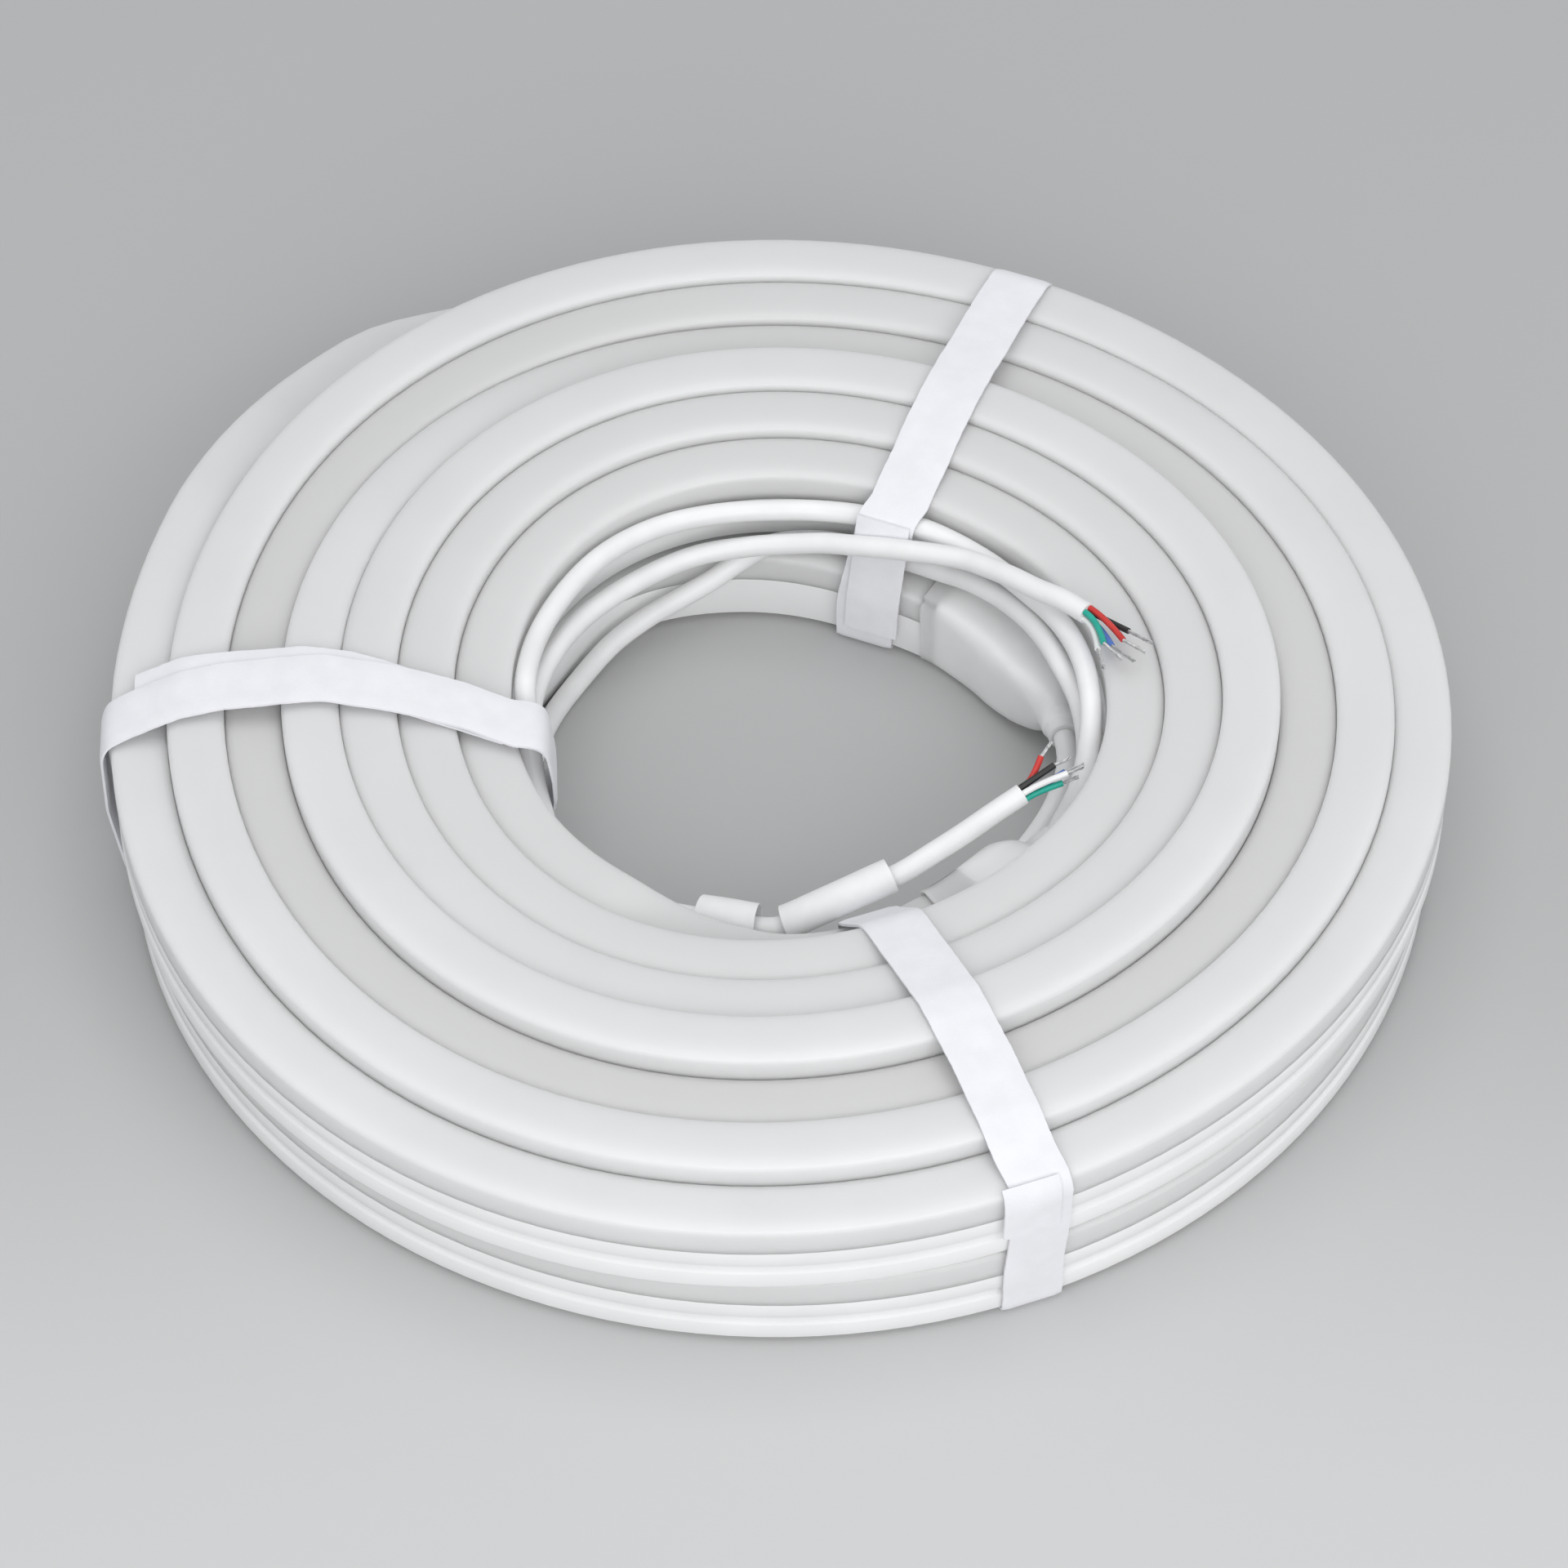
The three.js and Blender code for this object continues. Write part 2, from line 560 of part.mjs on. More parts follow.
function hull(points) {
  const sorted = points.slice().sort((p, q) => p[0] - q[0] || p[1] - q[1]);
  const turn = (o, a, b) => (a[0] - o[0]) * (b[1] - o[1]) - (a[1] - o[1]) * (b[0] - o[0]);
  const half = (list) => {
    const kept = [];
    for (const p of list) {
      while (kept.length > 1 && turn(kept[kept.length - 2], kept[kept.length - 1], p) <= 0.02) {
        kept.pop();
      }
      kept.push(p);
    }
    kept.pop();
    return kept;
  };
  return half(sorted).concat(half(sorted.slice().reverse()));
}

// Convex outline moved outward by a distance; sharp corners are cut square to the bisector.
function grown(outline, distance) {
  const result = [];
  const count = outline.length;
  for (let i = 0; i < count; i += 1) {
    const a = outline[(i + count - 1) % count];
    const b = outline[i];
    const c = outline[(i + 1) % count];
    const n1 = normal(a, b);
    const n2 = normal(b, c);
    const mid = [n1[0] + n2[0], n1[1] + n2[1]];
    const length = Math.hypot(...mid);
    const reach = distance / (length / 2);
    result.push([b[0] + mid[0] / length * reach, b[1] + mid[1] / length * reach]);
  }
  return result;
}

function normal(a, b) {
  const dx = b[0] - a[0];
  const dy = b[1] - a[1];
  const length = Math.hypot(dx, dy);
  return [dy / length, -dx / length];
}

function shapeOf(points) {
  return points.map(([x, y]) => new THREE.Vector2(x, y));
}

function solid(geometry) {
  const g = geometry.clone();
  g.deleteAttribute('normal');
  g.deleteAttribute('uv');
  const merged = mergeVertices(g, 1e-4);
  const mesh = new wasm.Mesh({
    numProp: 3,
    vertProperties: new Float32Array(merged.getAttribute('position').array),
    triVerts: new Uint32Array(merged.getIndex().array),
  });
  mesh.merge();
  return new wasm.Manifold(mesh);
}

function strap(name, plan, pieces, tail) {
  const points = [];
  for (let s = -STRAP_WIDTH / 2; s <= STRAP_WIDTH / 2; s += 1) {
    points.push(...crossings(plan, s));
  }
  for (const [path, range] of pieces) {
    points.push(...held(plan, path, range));
  }
  const taut = hull(points);
  const inner = grown(taut, STRAP_CLEARANCE);
  const outer = grown(taut, STRAP_CLEARANCE + STRAP_THICKNESS);
  const low = Math.min(...taut.map((p) => p[1])) - PART_GAP;
  for (const p of inner) {
    p[1] = Math.max(p[1], low);
  }
  for (const p of outer) {
    p[1] = Math.max(p[1], low - STRAP_THICKNESS);
  }
  const band = new THREE.Shape(shapeOf(outer));
  band.holes.push(new THREE.Path(shapeOf(inner).reverse()));
  const options = { steps: 1, depth: STRAP_WIDTH, bevelEnabled: false };
  const loop = new THREE.ExtrudeGeometry(band, options);

  // Overlap tail: a second thickness on part of the loop, set a little to one side.
  const below = grown(taut, STRAP_CLEARANCE + STRAP_THICKNESS - 0.3);
  const above = grown(taut, STRAP_CLEARANCE + 2 * STRAP_THICKNESS);
  const keep = taut.map((p, i) => i).filter((i) => tail.where(taut[i]));
  const start = keep.find((i) => !keep.includes((i + taut.length - 1) % taut.length));
  const run = keep.map((_, k) => (start + k) % taut.length);
  const strip = run.map((i) => below[i]).concat(run.map((i) => above[i]).reverse());
  const flap = new THREE.ExtrudeGeometry(new THREE.Shape(shapeOf(strip)), options);
  flap.translate(0, 0, -tail.offset);
  const whole = solid(loop).add(solid(flap));
  const mesh = whole.getMesh();
  const geometry = new THREE.BufferGeometry();
  geometry.setAttribute('position', new THREE.Float32BufferAttribute(mesh.vertProperties, 3));
  geometry.setIndex(Array.from(mesh.triVerts));
  const a = rad(plan);
  const frame = new THREE.Matrix4().makeBasis(
    new THREE.Vector3(Math.cos(a), Math.sin(a), 0),
    new THREE.Vector3(0, 0, 1),
    new THREE.Vector3(Math.sin(a), -Math.cos(a), 0),
  );
  const side = STRAP_WIDTH / 2;
  frame.setPosition(
    COIL_AXIS_X - Math.sin(a) * side,
    COIL_AXIS_Y + Math.cos(a) * side,
    0,
  );
  geometry.applyMatrix4(frame);
  add(name, welded(geometry), STRAP_WHITE);
}

const onTop = (p) => p[1] > 44;
strap('strap_left', 182, [[pathB, [0.4, 0.7]], [pathA, [0.6, 0.8]]], { where: onTop, offset: -5 });
strap('strap_back', 68, [[pathB, [0.1, 0.5]], [pathA, [0.3, 0.5]]], {
  where: (p) => onTop(p) && p[0] > 90, offset: -5,
});
strap('strap_front', 290.5, [], { where: (p) => p[1] > 30 && p[0] > 150, offset: 4 });

export default group;
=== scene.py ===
"""Strapped coil of LED neon flex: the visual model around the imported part.

Lengths are millimetres, and plan angles are degrees round the coil's axis. The meshes are made in
metres, in the part's own frame.
"""

import math
import random

import bmesh
import bpy
import numpy as np
from mathutils import Matrix, Vector


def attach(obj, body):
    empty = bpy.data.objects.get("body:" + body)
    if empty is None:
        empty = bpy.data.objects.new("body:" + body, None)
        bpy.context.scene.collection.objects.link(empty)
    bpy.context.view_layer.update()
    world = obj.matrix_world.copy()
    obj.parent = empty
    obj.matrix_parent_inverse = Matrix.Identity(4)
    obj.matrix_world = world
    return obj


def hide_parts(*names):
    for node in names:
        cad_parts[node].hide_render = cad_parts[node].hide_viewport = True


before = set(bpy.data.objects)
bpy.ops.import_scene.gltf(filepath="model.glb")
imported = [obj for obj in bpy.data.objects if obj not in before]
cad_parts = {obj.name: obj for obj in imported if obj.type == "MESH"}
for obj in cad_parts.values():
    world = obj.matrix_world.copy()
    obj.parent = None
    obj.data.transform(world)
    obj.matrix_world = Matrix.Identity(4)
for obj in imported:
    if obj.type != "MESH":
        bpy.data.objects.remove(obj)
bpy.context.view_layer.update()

MM = 0.001
# The coil's axis in plan, and how far the straps lift the coil off the ground.
AXIS = np.array([2.8, -2.3])
LIFT = 1.7

# The flex's half width and height, the pitch of its turns and the upper layer's underside.
HALF = 7.35
HEIGHT = 23.0
PITCH = 15.0
LAYER = 23.3

# The winding starts at the upper layer's inner end, and w is the degrees wound since then. The
# upper layer is slightly three-cornered; the lower one is off centre, with a dent at the back
# left. Each sleeve is the stretch of flex that a cap takes in.
START_ANGLE = 310
UPPER_RADIUS = 76.5
UPPER_WAVE = 1.8
LOWER_RADIUS = 173.9
LOWER_FROM = 2360
LOWER_SHIFT = (5.3, 0.9)
DENT_ANGLE = 153
DENT_DEPTH = 6.0
DENT_SPREAD = 14
FLEX_END = 4577.0
SLEEVE_A = 3
SLEEVE_B = 8

# Cables, wires and bare strands.
CABLE = 2.9
WIRE = 0.85
WIRE_SPREAD = 1.7
WIRE_GAP = 0.1
STRAND = 0.18
STRAND_SPREAD = 0.3
STRANDS = 6

# Labels: paper's thickness, turns round the cable and where the seam lies, as a share of a turn.
LABEL_THICK = 0.14
LABEL_TURNS = 1.12
LABEL_SEAM = 0.30

# Straps: their gap to the flex and to their own tail, the radius kept round a cable that they
# hold, and the heights between which the sideways drift sets in.
STRAP_WIDE = 16.0
STRAP_THICK = 1.2
STRAP_GAP = 0.4
TAIL_GAP = 0.12
HELD_CABLE = 3.5
SWAY_FROM = 8
SWAY_TO = 46

# Steps along the winding in degrees and along cables in millimetres.
FINE = 1.0
WIND_STEP = 2.5
CABLE_STEP = 2.5


def clean():
    """The default scene's own objects go; the loaded frame stays."""
    for name in ("Cube", "Light", "Camera"):
        o = bpy.data.objects.get(name)
        if o is not None:
            bpy.data.objects.remove(o)


clean()


# Curves through given rows
def smooth(rows, at, column=1):
    """Monotone cubic through rows of position and values."""
    x = np.array([r[0] for r in rows], float)
    y = np.array([r[column] for r in rows], float)
    h = np.diff(x)
    d = np.diff(y) / h
    m = np.zeros(len(x))
    for i in range(1, len(x) - 1):
        if d[i - 1] * d[i] > 0:
            w1 = 2 * h[i] + h[i - 1]
            w2 = h[i] + 2 * h[i - 1]
            m[i] = (w1 + w2) / (w1 / d[i - 1] + w2 / d[i])
    m[0], m[-1] = d[0], d[-1]
    q = np.clip(at, x[0], x[-1])
    i = np.clip(np.searchsorted(x, q) - 1, 0, len(h) - 1)
    t = (q - x[i]) / h[i]
    a = (1 + 2 * t) * (1 - t) ** 2 * y[i] + t * (1 - t) ** 2 * h[i] * m[i]
    return a + t * t * (3 - 2 * t) * y[i + 1] + t * t * (t - 1) * h[i] * m[i + 1]


# The upper layer's rise over its flat place, by turns wound.
UPPER_LIFT = [
    (0.361, 1.0), (0.611, 1.7), (0.861, 3.1), (1.111, 4.5), (1.361, 4.5), (1.611, 4.6),
    (1.861, 5.8), (2.111, 7.0), (2.361, 6.8), (2.611, 6.6), (2.861, 8.9), (3.111, 11.1),
    (3.361, 7.6), (3.611, 0.2), (3.861, 2.2), (4.111, 4.4), (4.361, 3.3), (4.611, 2.2),
    (4.861, 4.5), (5.111, 6.7), (5.361, 5.4), (5.611, 4.2), (5.861, 2.3), (6.111, 0.5),
    (6.361, 0.2),
]
# The sunk inner end: degrees wound, radius, underside height, outward lean of the top.
INNER_END = [
    (0, 72.2, 8.5, 0), (10, 73.0, 8.9, 0), (20, 73.8, 9.3, 1.2), (40, 75.2, 11.2, 2.8),
    (50, 75.4, 14.5, 3.9), (60, 75.1, 18.5, 5.3), (75, 74.9, 23.6, 6.1), (95, 76.9, 24.0, 3.8),
    (115, 79.4, 24.2, 0.6), (130, 80.1, 24.3, 0),
]
# The way down to the lower layer: degrees wound, outer radius, underside height.
DESCENT = [
    (2290, 177.5, 23.5), (2297.5, 178.0, 23.5), (2305, 179.0, 23.4), (2312.5, 180.6, 23.4),
    (2320, 183.6, 20.3), (2327.5, 187.2, 15.8), (2335, 190.4, 11.5), (2342.5, 192.9, 7.7),
    (2350, 190.6, 3.6), (2357.5, 186.0, 1.5), (2365, 183.9, 0.3), (2372.5, 181.6, 0),
    (2380, 179.4, 0), (2395, 176.9, 0), (2410, 175.7, 0),
]
# How the lower layer's inner end curls in: degrees wound, change of radius.
INNER_CURL = [(4450, 0), (4502, -1.0), (4530, -3.5), (4563, -5.7), (4577, -4.2)]
# Painted shade on the upper layer's milky silicone, by turns wound: 1 is bright, 0 dark, where a
# turn lies in shade.
PAINTED_LIGHT = [
    (0.0, 0.5), (0.4, 0.55), (1.1, 0.6), (2.1, 0.75), (2.6, 0.85), (3.1, 1.0), (3.4, 0.95),
    (3.6, 0.3), (4.1, 0.15), (4.5, 0.2), (4.7, 0.75), (5.1, 1.0), (5.7, 0.8), (6.1, 1.0),
    (6.4, 0.95), (7.0, 0.7),
]
# From here on the lower layer takes one flat level of painted shade.
PAINTED_LIGHT_TO = 2330
LOWER_PAINTED_LIGHT = 0.75


def flex_line(w):
    """Plan angle, centre radius, underside height and outward lean at w degrees wound."""
    w = np.asarray(w, float)
    theta = np.radians(START_ANGLE - w)
    turns = w / 360
    upper = UPPER_RADIUS + PITCH * turns + UPPER_WAVE * np.cos(3 * theta)
    dent = (START_ANGLE - w - DENT_ANGLE + 180) % 360 - 180
    lower = LOWER_RADIUS - PITCH * (w - LOWER_FROM) / 360
    lower = lower - LOWER_SHIFT[0] * np.cos(theta) - LOWER_SHIFT[1] * np.sin(theta)
    lower = lower - DENT_DEPTH * np.exp(-0.5 * (dent / DENT_SPREAD) ** 2)
    lower = lower + smooth(INNER_CURL, w)
    at_end = w < INNER_END[-1][0]
    stretches = [at_end, w <= DESCENT[0][0], w < DESCENT[-1][0]]
    r = np.select(stretches, [smooth(INNER_END, w), upper, smooth(DESCENT, w) - HALF], lower)
    lift = LAYER + smooth(UPPER_LIFT, turns)
    z = np.select(stretches, [smooth(INNER_END, w, 2), lift, smooth(DESCENT, w, 2)], 0)
    lean = np.where(at_end, smooth(INNER_END, w, 3), 0)
    return theta, r, z, lean


def spot(theta, r, z):
    """Metres in the part's frame from plan angle (radians), radius and height over the coil."""
    return np.stack([
        (r * np.cos(theta) + AXIS[0]) * MM,
        (r * np.sin(theta) + AXIS[1]) * MM,
        (z + LIFT) * MM + 0 * theta,
    ], axis=-1)


# Meshes
def mesh_object(name, verts, faces, material, sharp=40):
    """A smooth-shaded mesh with its faces turned outward; edges past sharp degrees stay crisp."""
    mesh = bpy.data.meshes.new(name)
    mesh.from_pydata([tuple(map(float, v)) for v in verts], [], faces)
    mesh.validate()
    mesh.update()
    mesh.shade_smooth()
    mesh.set_sharp_from_angle(angle=math.radians(sharp))
    o = bpy.data.objects.new(name, mesh)
    bpy.context.scene.collection.objects.link(o)
    o.data.materials.append(material)
    turned = bmesh.new()
    turned.from_mesh(mesh)
    bmesh.ops.recalc_face_normals(turned, faces=turned.faces)
    turned.to_mesh(mesh)
    turned.free()
    return o


def loft_faces(rings, count, around=False):
    """Faces between rings of points; rings that don't run all around get flat ends."""
    faces = []
    for r in range(rings if around else rings - 1):
        a = r * count
        b = (r + 1) % rings * count
        for i in range(count):
            j = (i + 1) % count
            faces.append((a + i, a + j, b + j, b + i))
    if not around:
        faces.append(tuple(range(count - 1, -1, -1)))
        faces.append(tuple(range((rings - 1) * count, rings * count)))
    return faces


# Materials
def shared_group(name, build):
    """A node group that is built once and used by every material."""
    g = bpy.data.node_groups.get(name)
    if g is None:
        g = bpy.data.node_groups.new(name, "ShaderNodeTree")
        build(g)
    return g


def mottle(g):
    """Soft cloudy change of a colour, as moulded silicone and plastic show."""
    face = g.interface
    face.new_socket("Color", in_out="INPUT", socket_type="NodeSocketColor")
    face.new_socket("Other", in_out="INPUT", socket_type="NodeSocketColor")
    face.new_socket("Scale", in_out="INPUT", socket_type="NodeSocketFloat")
    face.new_socket("Color", in_out="OUTPUT", socket_type="NodeSocketColor")
    n = g.nodes
    gin = n.new("NodeGroupInput")
    gout = n.new("NodeGroupOutput")
    tex = n.new("ShaderNodeTexNoise")
    where = n.new("ShaderNodeTexCoord")
    ramp = n.new("ShaderNodeMapRange")
    mix = n.new("ShaderNodeMix")
    mix.data_type = "RGBA"
    tex.inputs["Detail"].default_value = 3
    ramp.inputs["From Min"].default_value = 0.35
    ramp.inputs["From Max"].default_value = 0.7
    g.links.new(where.outputs["Object"], tex.inputs["Vector"])
    g.links.new(gin.outputs["Scale"], tex.inputs["Scale"])
    g.links.new(tex.outputs["Fac"], ramp.inputs["Value"])
    g.links.new(ramp.outputs["Result"], mix.inputs["Factor"])
    g.links.new(gin.outputs["Color"], mix.inputs["A"])
    g.links.new(gin.outputs["Other"], mix.inputs["B"])
    g.links.new(mix.outputs["Result"], gout.inputs["Color"])


def material(name, colour, other, rough, scale, metal=0.0, bump=0.0, bump_scale=1, bump_depth=0):
    """A surface that wanders between two colours, with fine bumps where asked."""
    m = bpy.data.materials.new(name)
    m.use_nodes = True
    nodes = m.node_tree.nodes
    links = m.node_tree.links
    shader = nodes["Principled BSDF"]
    shader.inputs["Roughness"].default_value = rough
    shader.inputs["Metallic"].default_value = metal
    group = nodes.new("ShaderNodeGroup")
    group.node_tree = shared_group("mottle", mottle)
    group.inputs["Color"].default_value = (*colour, 1)
    group.inputs["Other"].default_value = (*other, 1)
    group.inputs["Scale"].default_value = scale
    links.new(group.outputs["Color"], shader.inputs["Base Color"])
    if bump:
        tex = nodes.new("ShaderNodeTexNoise")
        where = nodes.new("ShaderNodeTexCoord")
        tex.inputs["Scale"].default_value = bump_scale
        node = nodes.new("ShaderNodeBump")
        node.inputs["Strength"].default_value = bump
        node.inputs["Distance"].default_value = bump_depth * MM
        links.new(where.outputs["Object"], tex.inputs["Vector"])
        links.new(tex.outputs["Fac"], node.inputs["Height"])
        links.new(node.outputs["Normal"], shader.inputs["Normal"])
    return m


def grey(v, tint=(1, 1, 1)):
    """A linear colour from an sRGB level out of 255."""
    c = v / 255
    c = c / 12.92 if c <= 0.04045 else ((c + 0.055) / 1.055) ** 2.4
    return tuple(c * t for t in tint)


MILKY = material("milky silicone", grey(224), grey(227), 0.42, scale=25)
OPAQUE = material("opaque silicone", grey(240), grey(244), 0.45, scale=40)
CAP = material(
    "cap silicone", grey(238), grey(243), 0.36, scale=70, bump=0.3, bump_scale=160, bump_depth=0.2,
)
JACKET = material("cable jacket", grey(241), grey(246), 0.4, scale=120)
TINNED = material("tinned copper", grey(185), grey(228), 0.34, scale=900, metal=0.8)
PAPER = material("label paper", grey(238), grey(243), 0.6, scale=200)
COOL = (0.965, 0.965, 1.0)
STRAP = material(
    "strap fabric", grey(240, COOL), grey(245, COOL), 0.9, scale=150, bump=0.35, bump_scale=2600,
    bump_depth=0.25,
)
WIRES = {
    "red": material("wire red", (0.60, 0.035, 0.03), (0.68, 0.05, 0.04), 0.4, scale=300),
    "black": material("wire black", (0.012, 0.012, 0.013), (0.03, 0.03, 0.03), 0.4, scale=300),
    "white": material("wire white", grey(238), grey(244), 0.4, scale=300),
    "green": material("wire green", (0.01, 0.38, 0.29), (0.02, 0.46, 0.35), 0.4, scale=300),
    "blue": material("wire blue", (0.10, 0.22, 0.66), (0.14, 0.28, 0.74), 0.4, scale=300),
}


def translucent(m, depth):
    """Light spreads under the surface, evenly in all colours, to a depth in millimetres."""
    shader = m.node_tree.nodes["Principled BSDF"]
    shader.inputs["Subsurface Weight"].default_value = 1.0
    shader.inputs["Subsurface Scale"].default_value = depth * MM
    shader.inputs["Subsurface Radius"].default_value = (1, 1, 1)


def paint_shade(m, dark, bright):
    """Painted shade: fades the material's colour to a dark one; the socket called bright says where
    it stays.
    """
    nodes = m.node_tree.nodes
    links = m.node_tree.links
    group = [n for n in nodes if n.type == "GROUP"][0]
    mix = nodes.new("ShaderNodeMix")
    mix.data_type = "RGBA"
    mix.inputs["A"].default_value = (*dark, 1)
    links.new(bright, mix.inputs["Factor"])
    links.new(group.outputs["Color"], mix.inputs["B"])
    links.new(mix.outputs["Result"], nodes["Principled BSDF"].inputs["Base Color"])


def winding_painted_shade():
    """Painted shade on the milky silicone: darkens it by the mesh's painted-light level, drawn along
    the winding.
    """
    painted_light = MILKY.node_tree.nodes.new("ShaderNodeAttribute")
    painted_light.attribute_name = "painted_light"
    paint_shade(MILKY, grey(210, (1.0, 0.992, 0.985)), painted_light.outputs["Fac"])


translucent(CAP, 4)
translucent(MILKY, 6)
winding_painted_shade()


def part(o, slot, *nodes):
    """The piece stands for these CAD nodes; the slot argument is not used."""
    o.name = "look_" + o.name.replace(" ", "_")
    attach(o, "root")
    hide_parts(*nodes)
    return o


# The flex: one side of the section of the base and of the diffuser, from below
BASE_OUTER = [
    (7.0, 0.0), (7.28, 0.1), (HALF, 0.4), (HALF, 4.95), (7.2, 5.25), (6.55, 5.45), (6.45, 5.8),
    (6.45, 7.7), (6.55, 8.05), (7.2, 8.25), (HALF, 8.55), (HALF, 12.9), (7.2, 13.2),
]
BASE_INNER = [(7.0, 0.0), (7.28, 0.1), (HALF, 0.4), (HALF, 6.5), (HALF, 12.9), (7.2, 13.2)]
DIFFUSER_SIDE = [
    (7.25, 13.26), (7.42, 13.6), (7.5, 16.0), (7.52, 20.6), (7.45, 21.35), (7.1, 21.98),
    (6.35, 22.4), (5.15, 22.7), (3.4, 22.9), (1.5, 23.0),
]


def wind(name, outer, inner, material, painted_light=False):
    """The section of one layer of the flex, swept along the whole winding."""
    w = np.append(np.arange(0, FLEX_END, WIND_STEP * FINE), FLEX_END)
    theta, r, z, lean = flex_line(w)
    ring = outer + [(-x, h) for x, h in reversed(inner)]
    rows = [spot(theta, r + x + lean * h / HEIGHT, z + h) for x, h in ring]
    verts = np.stack(rows, axis=1).reshape(-1, 3)
    o = mesh_object(name, verts, loft_faces(len(w), len(ring)), material, 50)
    if painted_light:
        # Painted shade along the winding: each point stores how lit its turn is painted, and the
        # lower layer gets one flat level.
        level = np.where(w < PAINTED_LIGHT_TO, smooth(PAINTED_LIGHT, w / 360), LOWER_PAINTED_LIGHT)
        layer = o.data.attributes.new("painted_light", "FLOAT", "POINT")
        layer.data.foreach_set("value", np.repeat(level, len(ring)).astype(np.float32))
    return o


part(wind("base", BASE_OUTER, BASE_INNER, OPAQUE), "opaque_silicone", "flex_base")
part(
    wind("diffuser", DIFFUSER_SIDE, DIFFUSER_SIDE, MILKY, True), "milky_silicone", "flex_diffuser",
)


# Cables: routes by plan angle, radius and height over the ground
ROUTE_A = [
    (13.6, 75.4, 15.9), (6.5, 75.4, 12.8), (2, 73.8, 9), (-3, 70.8, 5.5),
    (-9, 67.3, 3.6), (-17, 63.8, 3.1), (-30, 60.6, 3.1), (-50, 59.2, 3.1),
    (-75, 59.5, 3.1), (-100, 60, 3.1), (-120, 60.3, 3.1), (-138, 60.6, 3.1),
    (-150, 61.6, 3.1), (-160, 64, 3.1), (-167, 66.3, 3.1), (-173, 68.5, 3.1),
    (-180, 70, 3.1), (-192, 70.6, 3.1), (-206, 71.4, 3.1), (-219, 72.2, 4),
    (-229, 72.4, 8), (-238, 71.5, 12), (-245.5, 70, 16.2), (-253, 69.1, 21),
    (-259, 69.9, 25.3), (-266, 72.4, 28), (-276, 73.8, 28.6), (-287, 73.4, 28.6),
    (-296, 73.2, 29), (-304, 72.8, 30.7), (-313, 72.9, 33.7), (-322.6, 73.5, 35.7),
    (-334, 74.2, 37.7), (-346, 75.1, 38.7), (-354, 78, 34.5), (-363, 79.2, 29.7),
    (-371, 78.6, 25), (-378, 77.8, 17), (-385, 76.6, 9.5), (-392, 74.5, 4.6),
    (-400, 71.5, 3.2), (-412, 67.8, 3.1), (-424, 66, 3.1), (-440, 66.4, 3.1),
    (-458, 66.9, 3.1), (-475, 67, 3.1), (-490, 67, 3.6), (-502, 67.2, 6.5),
    (-512, 67.4, 11), (-522, 67.6, 17), (-531, 68, 24), (-540, 68.4, 30.5),
    (-550, 68.4, 34.5), (-563, 68, 34.7), (-579, 69.1, 31.7), (-596.3, 70.4, 29.7),
    (-609.7, 71, 30), (-621, 68.3, 32.5), (-630, 66.2, 34.9), (-639, 64.8, 37.6),
    (-647, 63.6, 40), (-655, 63.7, 42.2), (-666, 66.2, 44.5), (-674, 69, 46.3),
    (-680.4, 69.8, 48.7), (-687, 71.5, 50.9), (-693.8, 74, 52.9), (-699.5, 78, 54.6),
    (-704.7, 82, 55.4),
]
ROUTE_B = [
    (334.6, 74.9, 21.7), (341, 76.8, 27), (345.5, 79, 33), (351, 79.6, 38.5),
    (358, 79.8, 43), (366, 79.3, 46), (374, 78.4, 46.5), (382, 77.3, 45.3),
    (391, 76.1, 43.4), (405, 74.6, 43.2), (420, 73.3, 43.7), (433, 73.3, 41.8),
    (444, 73.7, 40.6), (457, 73.9, 40.5), (467, 74.4, 41), (478, 74.8, 41.8),
    (491, 74, 42.8), (504, 72.3, 43.2), (520, 70.7, 43.8), (535, 69.4, 45),
    (543, 68.5, 40.5), (550, 68.1, 33), (557, 68, 26.5), (564, 67.8, 22.3),
    (572, 67.2, 21.5), (581, 66, 22), (592, 64.6, 23.5), (603, 63.5, 25.8),
    (615, 63.3, 28.3), (626.2, 64.2, 29.1), (630.4, 63.6, 30.5), (636.8, 62.2, 33.1),
    (644.1, 60.8, 35), (651.6, 60.1, 36.5), (658.9, 60.6, 38.2), (668.7, 60.5, 39.4),
    (678, 61.3, 39.6), (687, 63.6, 40.2), (693.6, 68, 42.7),
]


def route_points(route):
    """A route's points in metres."""
    a = np.radians([p[0] for p in route])
    r = np.array([p[1] for p in route])
    z = np.array([p[2] for p in route]) - LIFT
    return spot(a, r, z)


